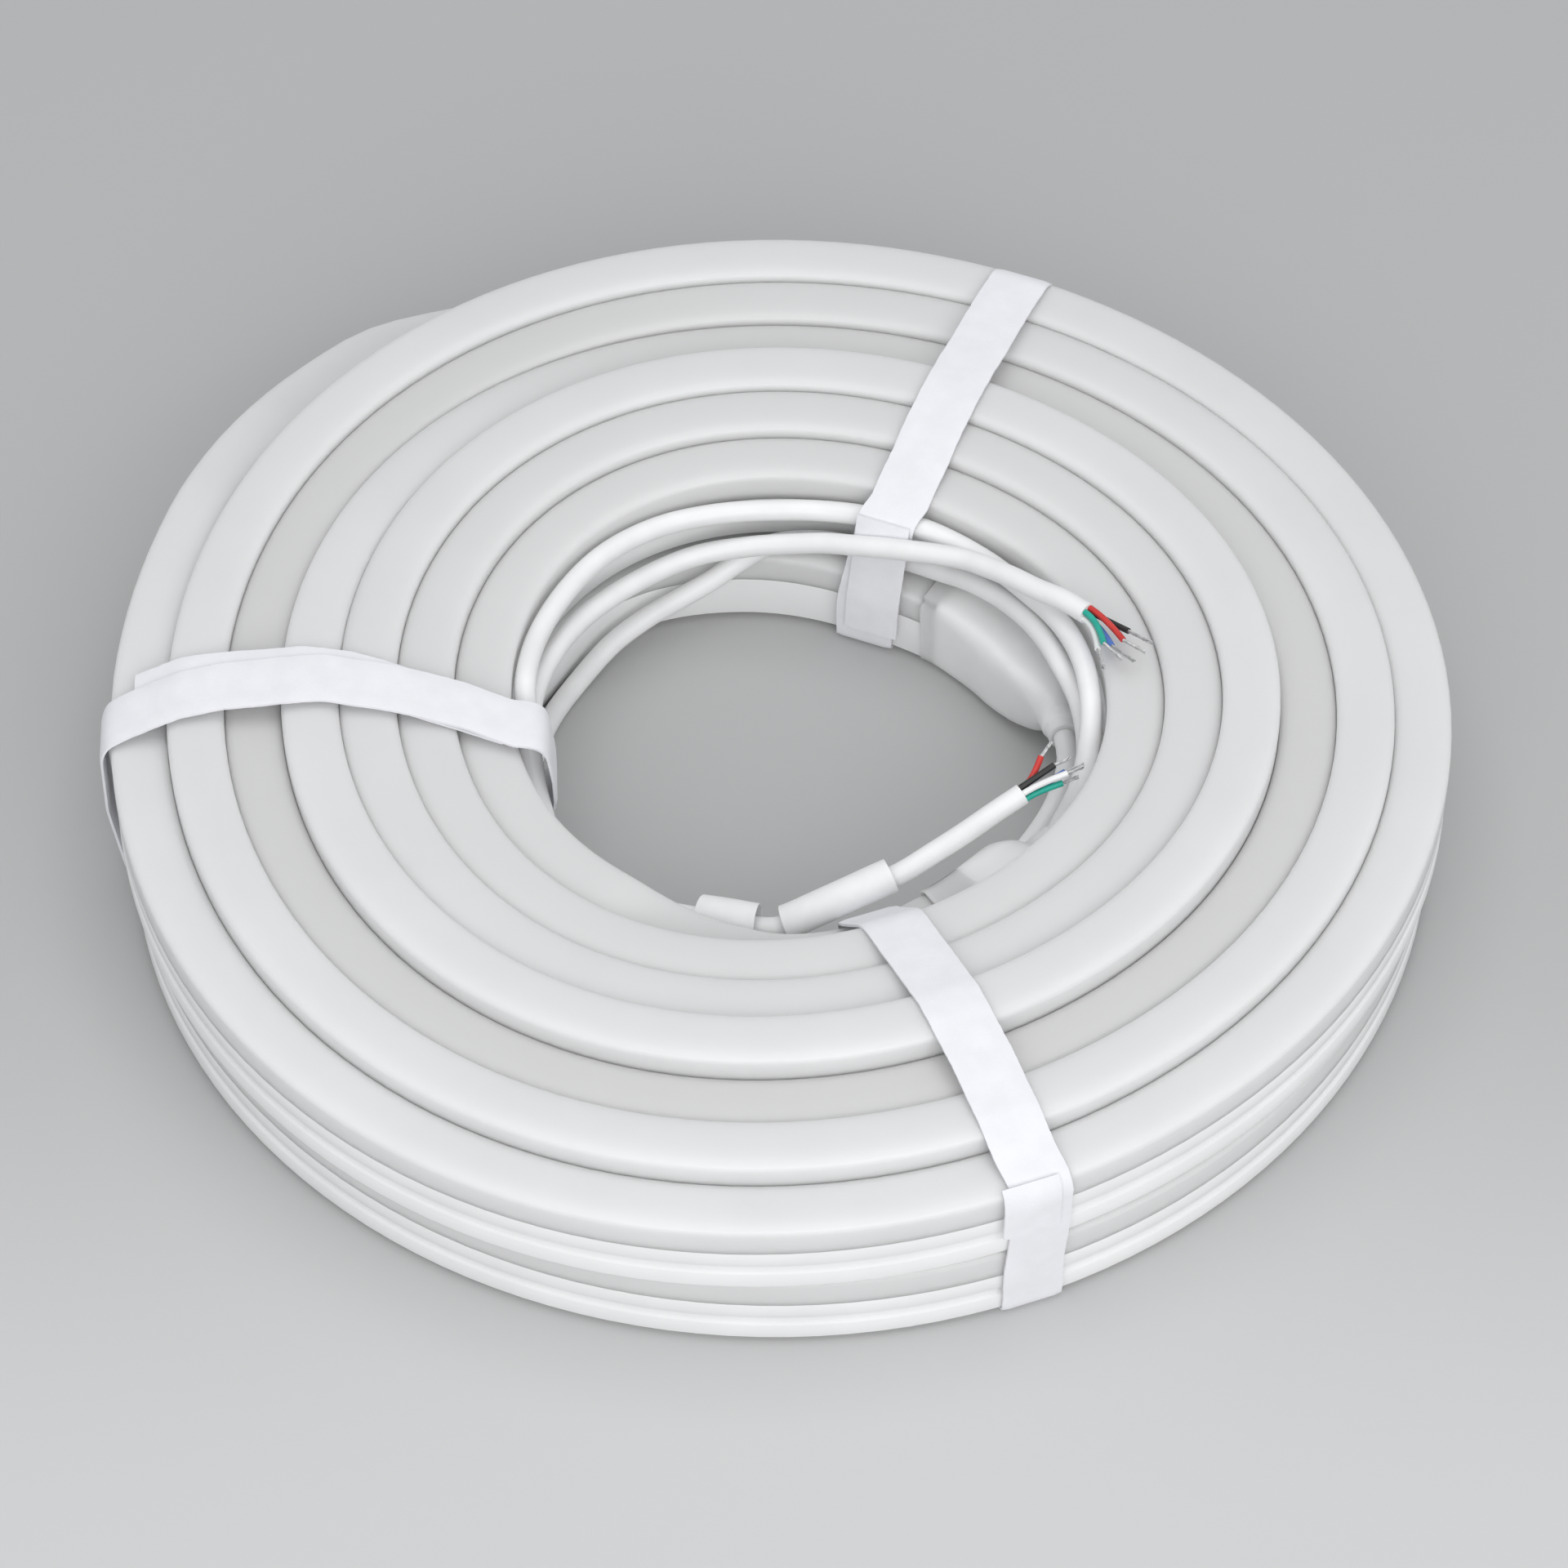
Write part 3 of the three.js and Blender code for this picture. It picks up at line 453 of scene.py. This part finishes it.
def through(points, step):
    """Centripetal Catmull-Rom line through the points, resampled at an even step."""
    p = np.vstack([2 * points[0] - points[1], points, 2 * points[-1] - points[-2]])
    out = []
    for i in range(1, len(p) - 2):
        t = [0.0]
        for k in range(3):
            t.append(t[-1] + max(np.linalg.norm(p[i + k] - p[i + k - 1]), 1e-9) ** 0.5)
        s = np.linspace(t[1], t[2], 16, endpoint=False)[:, None]
        a1 = (t[1] - s) / (t[1] - t[0]) * p[i - 1] + (s - t[0]) / (t[1] - t[0]) * p[i]
        a2 = (t[2] - s) / (t[2] - t[1]) * p[i] + (s - t[1]) / (t[2] - t[1]) * p[i + 1]
        a3 = (t[3] - s) / (t[3] - t[2]) * p[i + 1] + (s - t[2]) / (t[3] - t[2]) * p[i + 2]
        b1 = (t[2] - s) / (t[2] - t[0]) * a1 + (s - t[0]) / (t[2] - t[0]) * a2
        b2 = (t[3] - s) / (t[3] - t[1]) * a2 + (s - t[1]) / (t[3] - t[1]) * a3
        out.append((t[2] - s) / (t[2] - t[1]) * b1 + (s - t[1]) / (t[2] - t[1]) * b2)
    out = np.vstack(out + [points[-1:]])
    run = np.concatenate([[0], np.cumsum(np.linalg.norm(np.diff(out, axis=0), axis=1))])
    even = np.linspace(0, run[-1], max(3, int(round(run[-1] / step)) + 1))
    return np.stack([np.interp(even, run, out[:, k]) for k in range(3)], axis=1), run[-1]


def round_bars(name, lines, radius, material, resolution):
    """Round bars with flat ends along lines of points."""
    data = bpy.data.curves.new(name, "CURVE")
    data.dimensions = "3D"
    data.bevel_depth = radius
    data.bevel_resolution = resolution
    data.use_fill_caps = True
    for points in lines:
        line = data.splines.new("POLY")
        line.points.add(len(points) - 1)
        for q, p in zip(line.points, points):
            q.co = (*map(float, p), 1)
        line.use_smooth = True
    o = bpy.data.objects.new(name, data)
    bpy.context.scene.collection.objects.link(o)
    data.materials.append(material)
    return o


LINE_A, LENGTH_A = through(route_points(ROUTE_A), CABLE_STEP * MM * FINE)
LINE_B, LENGTH_B = through(route_points(ROUTE_B), CABLE_STEP * MM * FINE)


# Stripped ends: each wire's seat angle round the cable's cut end, its own end and its strands' tip
ENDS = {
    "a": {
        "red": (126, (6.2, 88.5, 58.4), (3.5, 93.8, 57.8)),
        "black": (198, (8.5, 90.6, 57.6), (4.8, 96.0, 58.6)),
        "white": (342, (5.8, 81.8, 56.2), (1.4, 82.9, 55.2)),
        "green": (54, (6.0, 83.3, 58.2), (2.8, 87.7, 56.6)),
        "blue": (270, (6.6, 85.7, 55.8), (2.1, 91.0, 56.8)),
    },
    "b": {
        "red": (198, (342.9, 69.0, 46.0), (346.4, 70.9, 48.0)),
        "black": (126, (341.0, 73.3, 46.8), (343.0, 77.0, 48.2)),
        "white": (54, (339.5, 77.6, 47.4), (340.8, 81.3, 49.5)),
        "green": (342, (338.6, 76.7, 44.4), (341.6, 79.6, 43.6)),
        "blue": (270, (341.9, 76.0, 43.8), (343.5, 80.4, 46.2)),
    },
}


def unit(v):
    """The vector at length one."""
    return v / np.linalg.norm(v)


def twisted(name, a, b, seed):
    """Bare strands twisted about the line from a to b, their tips slightly loose."""
    pick = random.Random(seed)
    ahead = unit(b - a)
    side = unit(np.cross(ahead, [0, 0, 1]))
    up = np.cross(side, ahead)
    length = np.linalg.norm(b - a)
    steps = 14
    lines = []
    for k in range(STRANDS):
        reach = 1 + pick.uniform(-0.06, 0.03)
        bend = pick.uniform(-0.2, 0.2) * MM
        line = []
        for i in range(steps + 1):
            t = i / steps
            turn = 2 * math.pi * (k / STRANDS + 1.1 * t)
            r = STRAND_SPREAD * MM * (1 + 0.5 * max(0, t - 0.75))
            p = a + ahead * length * t * reach
            line.append(p + side * (r * math.cos(turn) + bend * t * t) + up * r * math.sin(turn))
        lines.append(line)
    return round_bars(name, lines, STRAND * MM, TINNED, 2)


def stripped(side, line):
    """The five wires and their strands; returns them as the pieces on the cable."""
    made = []
    end = line[-1]
    ahead = unit(line[-1] - line[-3])
    across = unit(np.cross(ahead, [0, 0, 1]))
    above = np.cross(across, ahead)
    for k, (colour, (seat, cut, tip)) in enumerate(ENDS[side].items()):
        turn = math.radians(seat)
        start = end + (across * math.cos(turn) + above * math.sin(turn)) * WIRE_SPREAD * MM
        start = start + ahead * WIRE_GAP * MM
        last, point = route_points([cut, tip])
        knee = start + ahead * np.linalg.norm(last - start) * 0.35
        t = np.linspace(0, 1, 12)[:, None]
        bend = (1 - t) ** 2 * start + 2 * t * (1 - t) * knee + t * t * last
        wire = round_bars(f"wire {side} {colour}", [bend], WIRE * MM, WIRES[colour], 4)
        made.append(part(wire, f"wire_{colour}", f"wire_{side}_{colour}"))
        bare = twisted(f"strands {side} {colour}", last, point, 10 * k + 3)
        made.append(part(bare, "tinned_copper", f"strands_{side}_{colour}"))
    return made


# Labels: loose paper rolled round the front cable, standing a little above it
def label(name, node, line, start, stop, inside, rise):
    """A roll of paper over a stretch of the line, given as shares of its length."""
    count = len(line) - 1
    first = int(start * count)
    last = int(stop * count)
    rows = []
    around = 36
    for i in range(first, last + 1):
        ahead = unit(line[min(i + 1, count)] - line[max(i - 1, 0)])
        side = unit(np.cross(ahead, [0, 0, 1]))
        up = np.cross(side, ahead)
        row = []
        for k in range(around + 1):
            t = k / around
            a = 2 * math.pi * (LABEL_TURNS * t + LABEL_SEAM)
            r = (inside + 0.25 * t) * MM
            turn = side * math.cos(a) + up * math.sin(a)
            row.append(line[i] + turn * r + up * rise * MM)
        rows.append(row)
    inner = np.array(rows)
    spoke = inner - inner.mean(axis=1, keepdims=True)
    outer = inner + LABEL_THICK * MM * spoke / np.linalg.norm(spoke, axis=2, keepdims=True)
    n, m = inner.shape[:2]
    rings = [np.vstack([inner[i], outer[i][::-1]]) for i in range(n)]
    o = mesh_object(name, np.vstack(rings), loft_faces(n, 2 * m), PAPER)
    return part(o, "label_paper", node)


cable_a = part(round_bars("cable a", [LINE_A], CABLE * MM, JACKET, 6), "cable_jacket", "cable_a")
cable_b = part(round_bars("cable b", [LINE_B], CABLE * MM, JACKET, 6), "cable_jacket", "cable_b")
on_a = stripped("a", LINE_A)
on_b = stripped("b", LINE_B)
on_b.append(label("label left", "label_left", LINE_B, 0.7937, 0.8313, 4.9, 1.5))
on_b.append(label("label front", "label_front", LINE_B, 0.8453, 0.9109, 4.3, 0.9))


# Moulded caps
def sleeve(mouth, end):
    """Rows of a cap's pocket and mouth over the last stretch of the flex."""
    theta, r, z, _ = flex_line([mouth, end])
    a = np.degrees(theta) % 360
    beyond = 0.25
    deep = (a[1] + (a[1] - a[0]) * beyond, r[1] + (r[1] - r[0]) * beyond, z[1])
    ahead = 0.4 if a[1] > a[0] else -0.4
    middle = z + HEIGHT / 2
    return [
        (deep[0], deep[1], deep[2] + HEIGHT / 2, 15.4, 23.8, -3),
        (a[0], r[0], middle[0], 15.4, 23.8, -3),
        (a[0] - ahead * 0.4, r[0], middle[0], 16.6, 24.8, -0.5),
        (a[0] + ahead, r[0], middle[0], 17.6, 25.6, 0.05),
    ]


def cap(name, node, rows, seed):
    """Rounded rings along rows of plan angle, radius, middle height, width, height, roundness."""
    rows = np.array(rows, float)
    at = np.arange(len(rows))
    fine = np.linspace(0, len(rows) - 1, (len(rows) - 1) * 6 + 1)
    cols = [smooth(np.stack([at, rows[:, k]], axis=1).tolist(), fine) for k in range(6)]
    pick = np.random.RandomState(seed)
    phase = pick.uniform(0, 2 * math.pi, 6)
    count = 56
    verts = []
    for q, a, r, m, w, h, k in zip(fine, *cols):
        power = 2 + 4.5 * (1 - k)
        lumpiness = 0.0 if k < 0 else min(1, 0.35 + k * 2)
        mouth = math.exp(-((q - 2.2) / 0.7) ** 2)
        for i in range(count):
            t = 2 * math.pi * i / count
            c, s = math.cos(t), math.sin(t)
            x = w / 2 * math.copysign(abs(c) ** (2 / power), c)
            z = h / 2 * math.copysign(abs(s) ** (2 / power), s)
            lump = math.sin(3 * t + q * 1.3 + phase[0]) + math.sin(5 * t - q * 2.1 + phase[1])
            lump = lump + 0.6 * math.sin(2 * t + q * 2.9 + phase[2])
            grow = 1 + 0.009 * lump * lumpiness
            edge = math.sin(4 * t + phase[3]) + math.sin(7 * t + phase[4])
            edge = 0.25 * mouth * (edge + 0.7 * math.sin(13 * t + phase[5]))
            verts.append(spot(math.radians(a + edge), r + x * grow, m + z * grow))
    o = mesh_object(name, verts, loft_faces(len(fine), count), CAP, 60)
    return part(o, "milky_silicone", node)


cap("cap a", "end_cap_a", sleeve(FLEX_END - SLEEVE_A, FLEX_END) + [
    (50, 73.5, 11.5, 17.5, 25.5, 0.06), (44, 73.3, 11.5, 17.4, 25.2, 0.12),
    (35, 73.1, 11.6, 17.2, 25.0, 0.2), (27, 73.8, 12.0, 15.8, 23.6, 0.4),
    (20.5, 74.8, 12.9, 12.8, 19.0, 0.7), (17, 75.3, 13.5, 10.6, 13.4, 1),
    (15.8, 75.3, 13.6, 10.0, 11.2, 1), (14.4, 75.4, 13.7, 10.3, 10.8, 1),
    (13.2, 75.4, 13.7, 10.2, 10.6, 1), (12.6, 75.4, 13.6, 9.0, 9.6, 1),
    (10.8, 75.4, 13.4, 8.4, 9.0, 1),
], 1)
cap("cap b", "end_cap_b", sleeve(SLEEVE_B, 0) + [
    (312, 72.3, 20.0, 17.5, 25.5, 0.08), (317, 72.2, 20.0, 17.4, 25.4, 0.12),
    (323, 72.0, 20.1, 16.6, 24.2, 0.3), (328, 73.2, 20.1, 14.2, 20.4, 0.6),
    (331.5, 74.2, 20.2, 11.4, 13.8, 1), (334.5, 75.0, 21.2, 10.0, 10.6, 1),
    (337, 75.6, 22.0, 8.8, 9.2, 1),
], 2)


# Straps: corners of the flex's outer side that a taut strap can touch, from below
SECTION = [(HALF, 0), (HALF, 18.6), (6.1, 21.6), (3.2, HEIGHT)]


def beside(plan):
    """The direction out along a plan angle, and the one sideways from it."""
    out = np.array([math.cos(plan), math.sin(plan)])
    return out, np.array([-out[1], out[0]])


def crossings(plan, offset):
    """Corners of every flex section cut by a plane beside the plan angle."""
    out, side = beside(plan)
    w = np.arange(0, FLEX_END, WIND_STEP)
    theta, r, z, lean = flex_line(w)
    found = []
    for x, h in SECTION + [(-x, h) for x, h in SECTION]:
        reach = r + x + lean * h / HEIGHT
        xy = np.stack([reach * np.cos(theta), reach * np.sin(theta)], axis=1)
        s = xy @ side - offset
        d = xy @ out
        hit = np.where((s[:-1] * s[1:] <= 0) & (d[:-1] > 0))[0]
        t = s[hit] / (s[hit] - s[hit + 1])
        found.append(np.stack([
            d[hit] * (1 - t) + d[hit + 1] * t,
            z[hit] * (1 - t) + z[hit + 1] * t + h + LIFT,
        ], axis=1))
    return np.vstack(found)


def held(plan, line, start, stop):
    """Outline points of a cable where it runs under the strap."""
    out, side = beside(plan)
    piece = line[int(start * len(line)):int(stop * len(line))] / MM
    xy = piece[:, :2] - AXIS
    keep = (np.abs(xy @ side) < STRAP_WIDE / 2 + 1) & (xy @ out > 0)
    turn = np.arange(16) * math.pi / 8
    return np.vstack([
        np.stack([p + HELD_CABLE * np.cos(turn), q + HELD_CABLE * np.sin(turn)], axis=1)
        for p, q in zip(xy[keep] @ out, piece[keep][:, 2])
    ])


def hull(points):
    """The convex outline round points in a plane."""
    pts = sorted(map(tuple, np.round(points, 4)))

    def half(seq):
        kept = []
        for p in seq:
            while len(kept) > 1 and (
                (kept[-1][0] - kept[-2][0]) * (p[1] - kept[-2][1])
                - (kept[-1][1] - kept[-2][1]) * (p[0] - kept[-2][0])
            ) <= 0.02:
                kept.pop()
            kept.append(p)
        return kept[:-1]

    return np.array(half(pts) + half(pts[::-1]))


def band_line(taut, distance, step=1.2):
    """The taut outline moved outward, evenly sampled and slightly eased at its corners."""
    n = len(taut)
    pts = []
    for i in range(n):
        a, b, c = taut[i - 1], taut[i], taut[(i + 1) % n]
        n1 = unit(np.array([b[1] - a[1], a[0] - b[0]]))
        n2 = unit(np.array([c[1] - b[1], b[0] - c[0]]))
        for t in (0.0, 0.5, 1.0):
            pts.append(b + unit(n1 * (1 - t) + n2 * t) * distance)
    pts = np.array(pts)
    loop = np.vstack([pts, pts[:1]])
    run = np.concatenate([[0], np.cumsum(np.linalg.norm(np.diff(loop, axis=0), axis=1))])
    even = np.linspace(0, run[-1], int(run[-1] / step), endpoint=False)
    line = np.stack([np.interp(even, run, loop[:, k]) for k in range(2)], axis=1)
    for _ in range(2):
        line = 0.25 * np.roll(line, 1, 0) + 0.5 * line + 0.25 * np.roll(line, -1, 0)
    return line, run[-1]


def strip(line, shift, width, plan, closed, seed):
    """Rings of a flat tape along a line in the strap's plane, set aside by shift."""
    pick = np.random.RandomState(seed)
    out, side = beside(plan)
    n = len(line)
    if closed:
        ahead = np.roll(line, -1, 0) - np.roll(line, 1, 0)
    else:
        ahead = np.gradient(line, axis=0)
    ahead /= np.linalg.norm(ahead, axis=1, keepdims=True)
    normal = np.stack([ahead[:, 1], -ahead[:, 0]], axis=1)
    cuts = np.linspace(-1, 1, 9)
    shift = np.broadcast_to(shift, (n,))
    wave = np.convolve(pick.uniform(-1, 1, n + 8), np.ones(9) / 9, "valid") * 0.5
    rings = []
    for i in range(n):
        ring = []
        for face, sign in ((cuts, 0.5), (cuts[::-1], -0.5)):
            for c in face:
                edge = 0.55 if abs(c) > 0.95 else 1.0
                p = line[i] + normal[i] * STRAP_THICK * sign * edge
                across = shift[i] + c * width / 2 + wave[i]
                xy = out * p[0] + side * across + AXIS
                ring.append((xy[0] * MM, xy[1] * MM, p[1] * MM))
        rings.append(ring)
    return np.array(rings)


def strap(name, node, degrees, cables, sway, foot, tail, seed):
    """A closed band with its overlap tail. Sway is the band's sideways place on top of the coil by
    distance from the axis, foot its place at the ground; the tail's goes by distance or height."""
    plan = math.radians(degrees)
    half = STRAP_WIDE / 2
    points = [crossings(plan, s) for s in np.arange(-half, half + 0.1, 2)]
    points += [held(plan, *c) for c in cables]
    taut = hull(np.vstack(points))
    low = STRAP_GAP + STRAP_THICK / 2
    high = low + STRAP_THICK + TAIL_GAP
    line, length = band_line(taut, high if tail["under"] else low)
    line[:, 1] = np.maximum(line[:, 1], STRAP_THICK / 2)
    verts = []
    faces = []

    def take(rings, closed):
        n, m = rings.shape[:2]
        start = sum(len(v) for v in verts)
        verts.append(rings.reshape(-1, 3))
        faces.extend(tuple(start + k for k in f) for f in loft_faces(n, m, closed))

    rise = np.clip((line[:, 1] - SWAY_FROM) / (SWAY_TO - SWAY_FROM), 0, 1)
    moved = foot + (np.interp(line[:, 0], *sway) - foot) * rise * rise * (3 - 2 * rise)
    take(strip(line, moved, STRAP_WIDE, plan, True, seed), True)
    over, _ = band_line(taut, low if tail["under"] else high)
    keep = np.array([tail["where"](p) for p in over])
    start = next(i for i in range(len(over)) if keep[i] and not keep[i - 1])
    run = [(start + k) % len(over) for k in range(int(keep.sum()))]
    path = over[run]
    moved = np.interp(path[:, tail["by"]], *tail["shift"])
    take(strip(path, moved, tail["wide"], plan, False, seed + 1), False)
    o = mesh_object(name, np.vstack(verts), faces, STRAP, 50)
    part(o, "strap_fabric", node)


strap(
    "strap left", "strap_left", 182, [(LINE_B, 0.4, 0.7), (LINE_A, 0.6, 0.8)],
    ([62, 72, 85, 99, 121, 147, 163, 178], [11, 10.5, 6, 2.6, -1, -0.5, 2, 5]), 6,
    {
        "under": True, "where": lambda p: p[1] > 44 and 74 < p[0] < 172, "by": 0, "wide": STRAP_WIDE,
        "shift": ([74, 94, 114, 127, 145, 159, 171], [9, 3, -3.3, -5.5, -5.5, -5, -3]),
    },
    11,
)
strap(
    "strap back", "strap_back", 68, [(LINE_B, 0.1, 0.5), (LINE_A, 0.3, 0.5)],
    ([62, 66, 75, 150, 178], [0.5, 0, -2.6, -3.4, -4.6]), 3.5,
    {
        "under": False, "where": lambda p: 7 < p[1] < 47 and p[0] < 75, "by": 1, "wide": 15,
        "shift": ([7, 47], [1.0, -0.8]),
    },
    12,
)
strap(
    "strap front", "strap_front", 290.5, [],
    ([62, 75, 120, 165, 178], [-4, -4.2, -1.5, 0.5, 1.9]), 0,
    {
        "under": False, "where": lambda p: 33 < p[1] < 57 and p[0] > 172, "by": 1, "wide": 15,
        "shift": ([33, 57], [-1.8, -1.2]),
    },
    13,
)


# Stage, light and camera
def floor():
    """Pale paper with painted light falloff: a little lighter towards the camera, painted darker
    away from it.
    """
    mesh = bpy.data.meshes.new("floor")
    s = 6.0
    mesh.from_pydata([(-s, -s, 0), (s, -s, 0), (s, s, 0), (-s, s, 0)], [], [(0, 1, 2, 3)])
    o = bpy.data.objects.new("floor", mesh)
    bpy.context.scene.collection.objects.link(o)
    paper = material("floor paper", grey(205), grey(206), 0.8, scale=3)
    nodes = paper.node_tree.nodes
    links = paper.node_tree.links
    where = nodes.new("ShaderNodeTexCoord")
    split = nodes.new("ShaderNodeSeparateXYZ")
    ramp = nodes.new("ShaderNodeMapRange")
    ramp.interpolation_type = "SMOOTHSTEP"
    ramp.inputs["From Min"].default_value = -0.02
    ramp.inputs["From Max"].default_value = -0.24
    links.new(where.outputs["Object"], split.inputs["Vector"])
    links.new(split.outputs["Y"], ramp.inputs["Value"])
    # Painted light falloff: the paper is painted down to grey 184 away from the camera.
    paint_shade(paper, grey(184), ramp.outputs["Result"])
    o.data.materials.append(paper)


def lamp(name, place, target, size, power):
    """A rectangular softbox, turned towards its target."""
    data = bpy.data.lights.new(name, "AREA")
    data.shape = "RECTANGLE"
    data.size, data.size_y = size
    data.energy = power
    o = bpy.data.objects.new(name, data)
    o.location = place
    o.rotation_euler = (Vector(target) - Vector(place)).to_track_quat("-Z", "Y").to_euler()
    bpy.context.scene.collection.objects.link(o)


def light():
    """An even pale room with one softbox in front and one overhead."""
    world = bpy.data.worlds.new("studio")
    bpy.context.scene.world = world
    world.use_nodes = True
    back = world.node_tree.nodes["Background"]
    back.inputs["Color"].default_value = (0.96, 0.98, 1.0, 1)
    back.inputs["Strength"].default_value = 0.57
    lamp("front softbox", (0.3, -1.7, 1.25), (0, -0.03, 0), (2.4, 1.3), 21)
    lamp("top softbox", (0.0, 0.1, 2.2), (0, 0, 0), (1.8, 1.8), 13)


def camera():
    """A long lens in front of the coil, looking down at it."""
    data = bpy.data.cameras.new("camera")
    data.sensor_width = 36
    data.lens = 138.97
    data.clip_end = 50
    o = bpy.data.objects.new("camera", data)
    ahead = Vector((0.00017, 0.65461, -0.75597)).normalized()
    right = ahead.cross(Vector((0, 0, 1))).normalized()
    up = right.cross(ahead)
    roll = math.radians(-0.1)
    rolled_right = right * math.cos(roll) + up * math.sin(roll)
    rolled_up = up * math.cos(roll) - right * math.sin(roll)
    pose = Matrix((rolled_right, rolled_up, -ahead)).transposed().to_4x4()
    pose.translation = Vector((1.54, -1060.16, 1233.59)) * MM
    o.matrix_world = pose
    bpy.context.scene.collection.objects.link(o)
    bpy.context.scene.camera = o


floor()
light()
camera()
bpy.context.scene.view_settings.view_transform = "Standard"
bpy.context.scene.view_settings.look = "None"
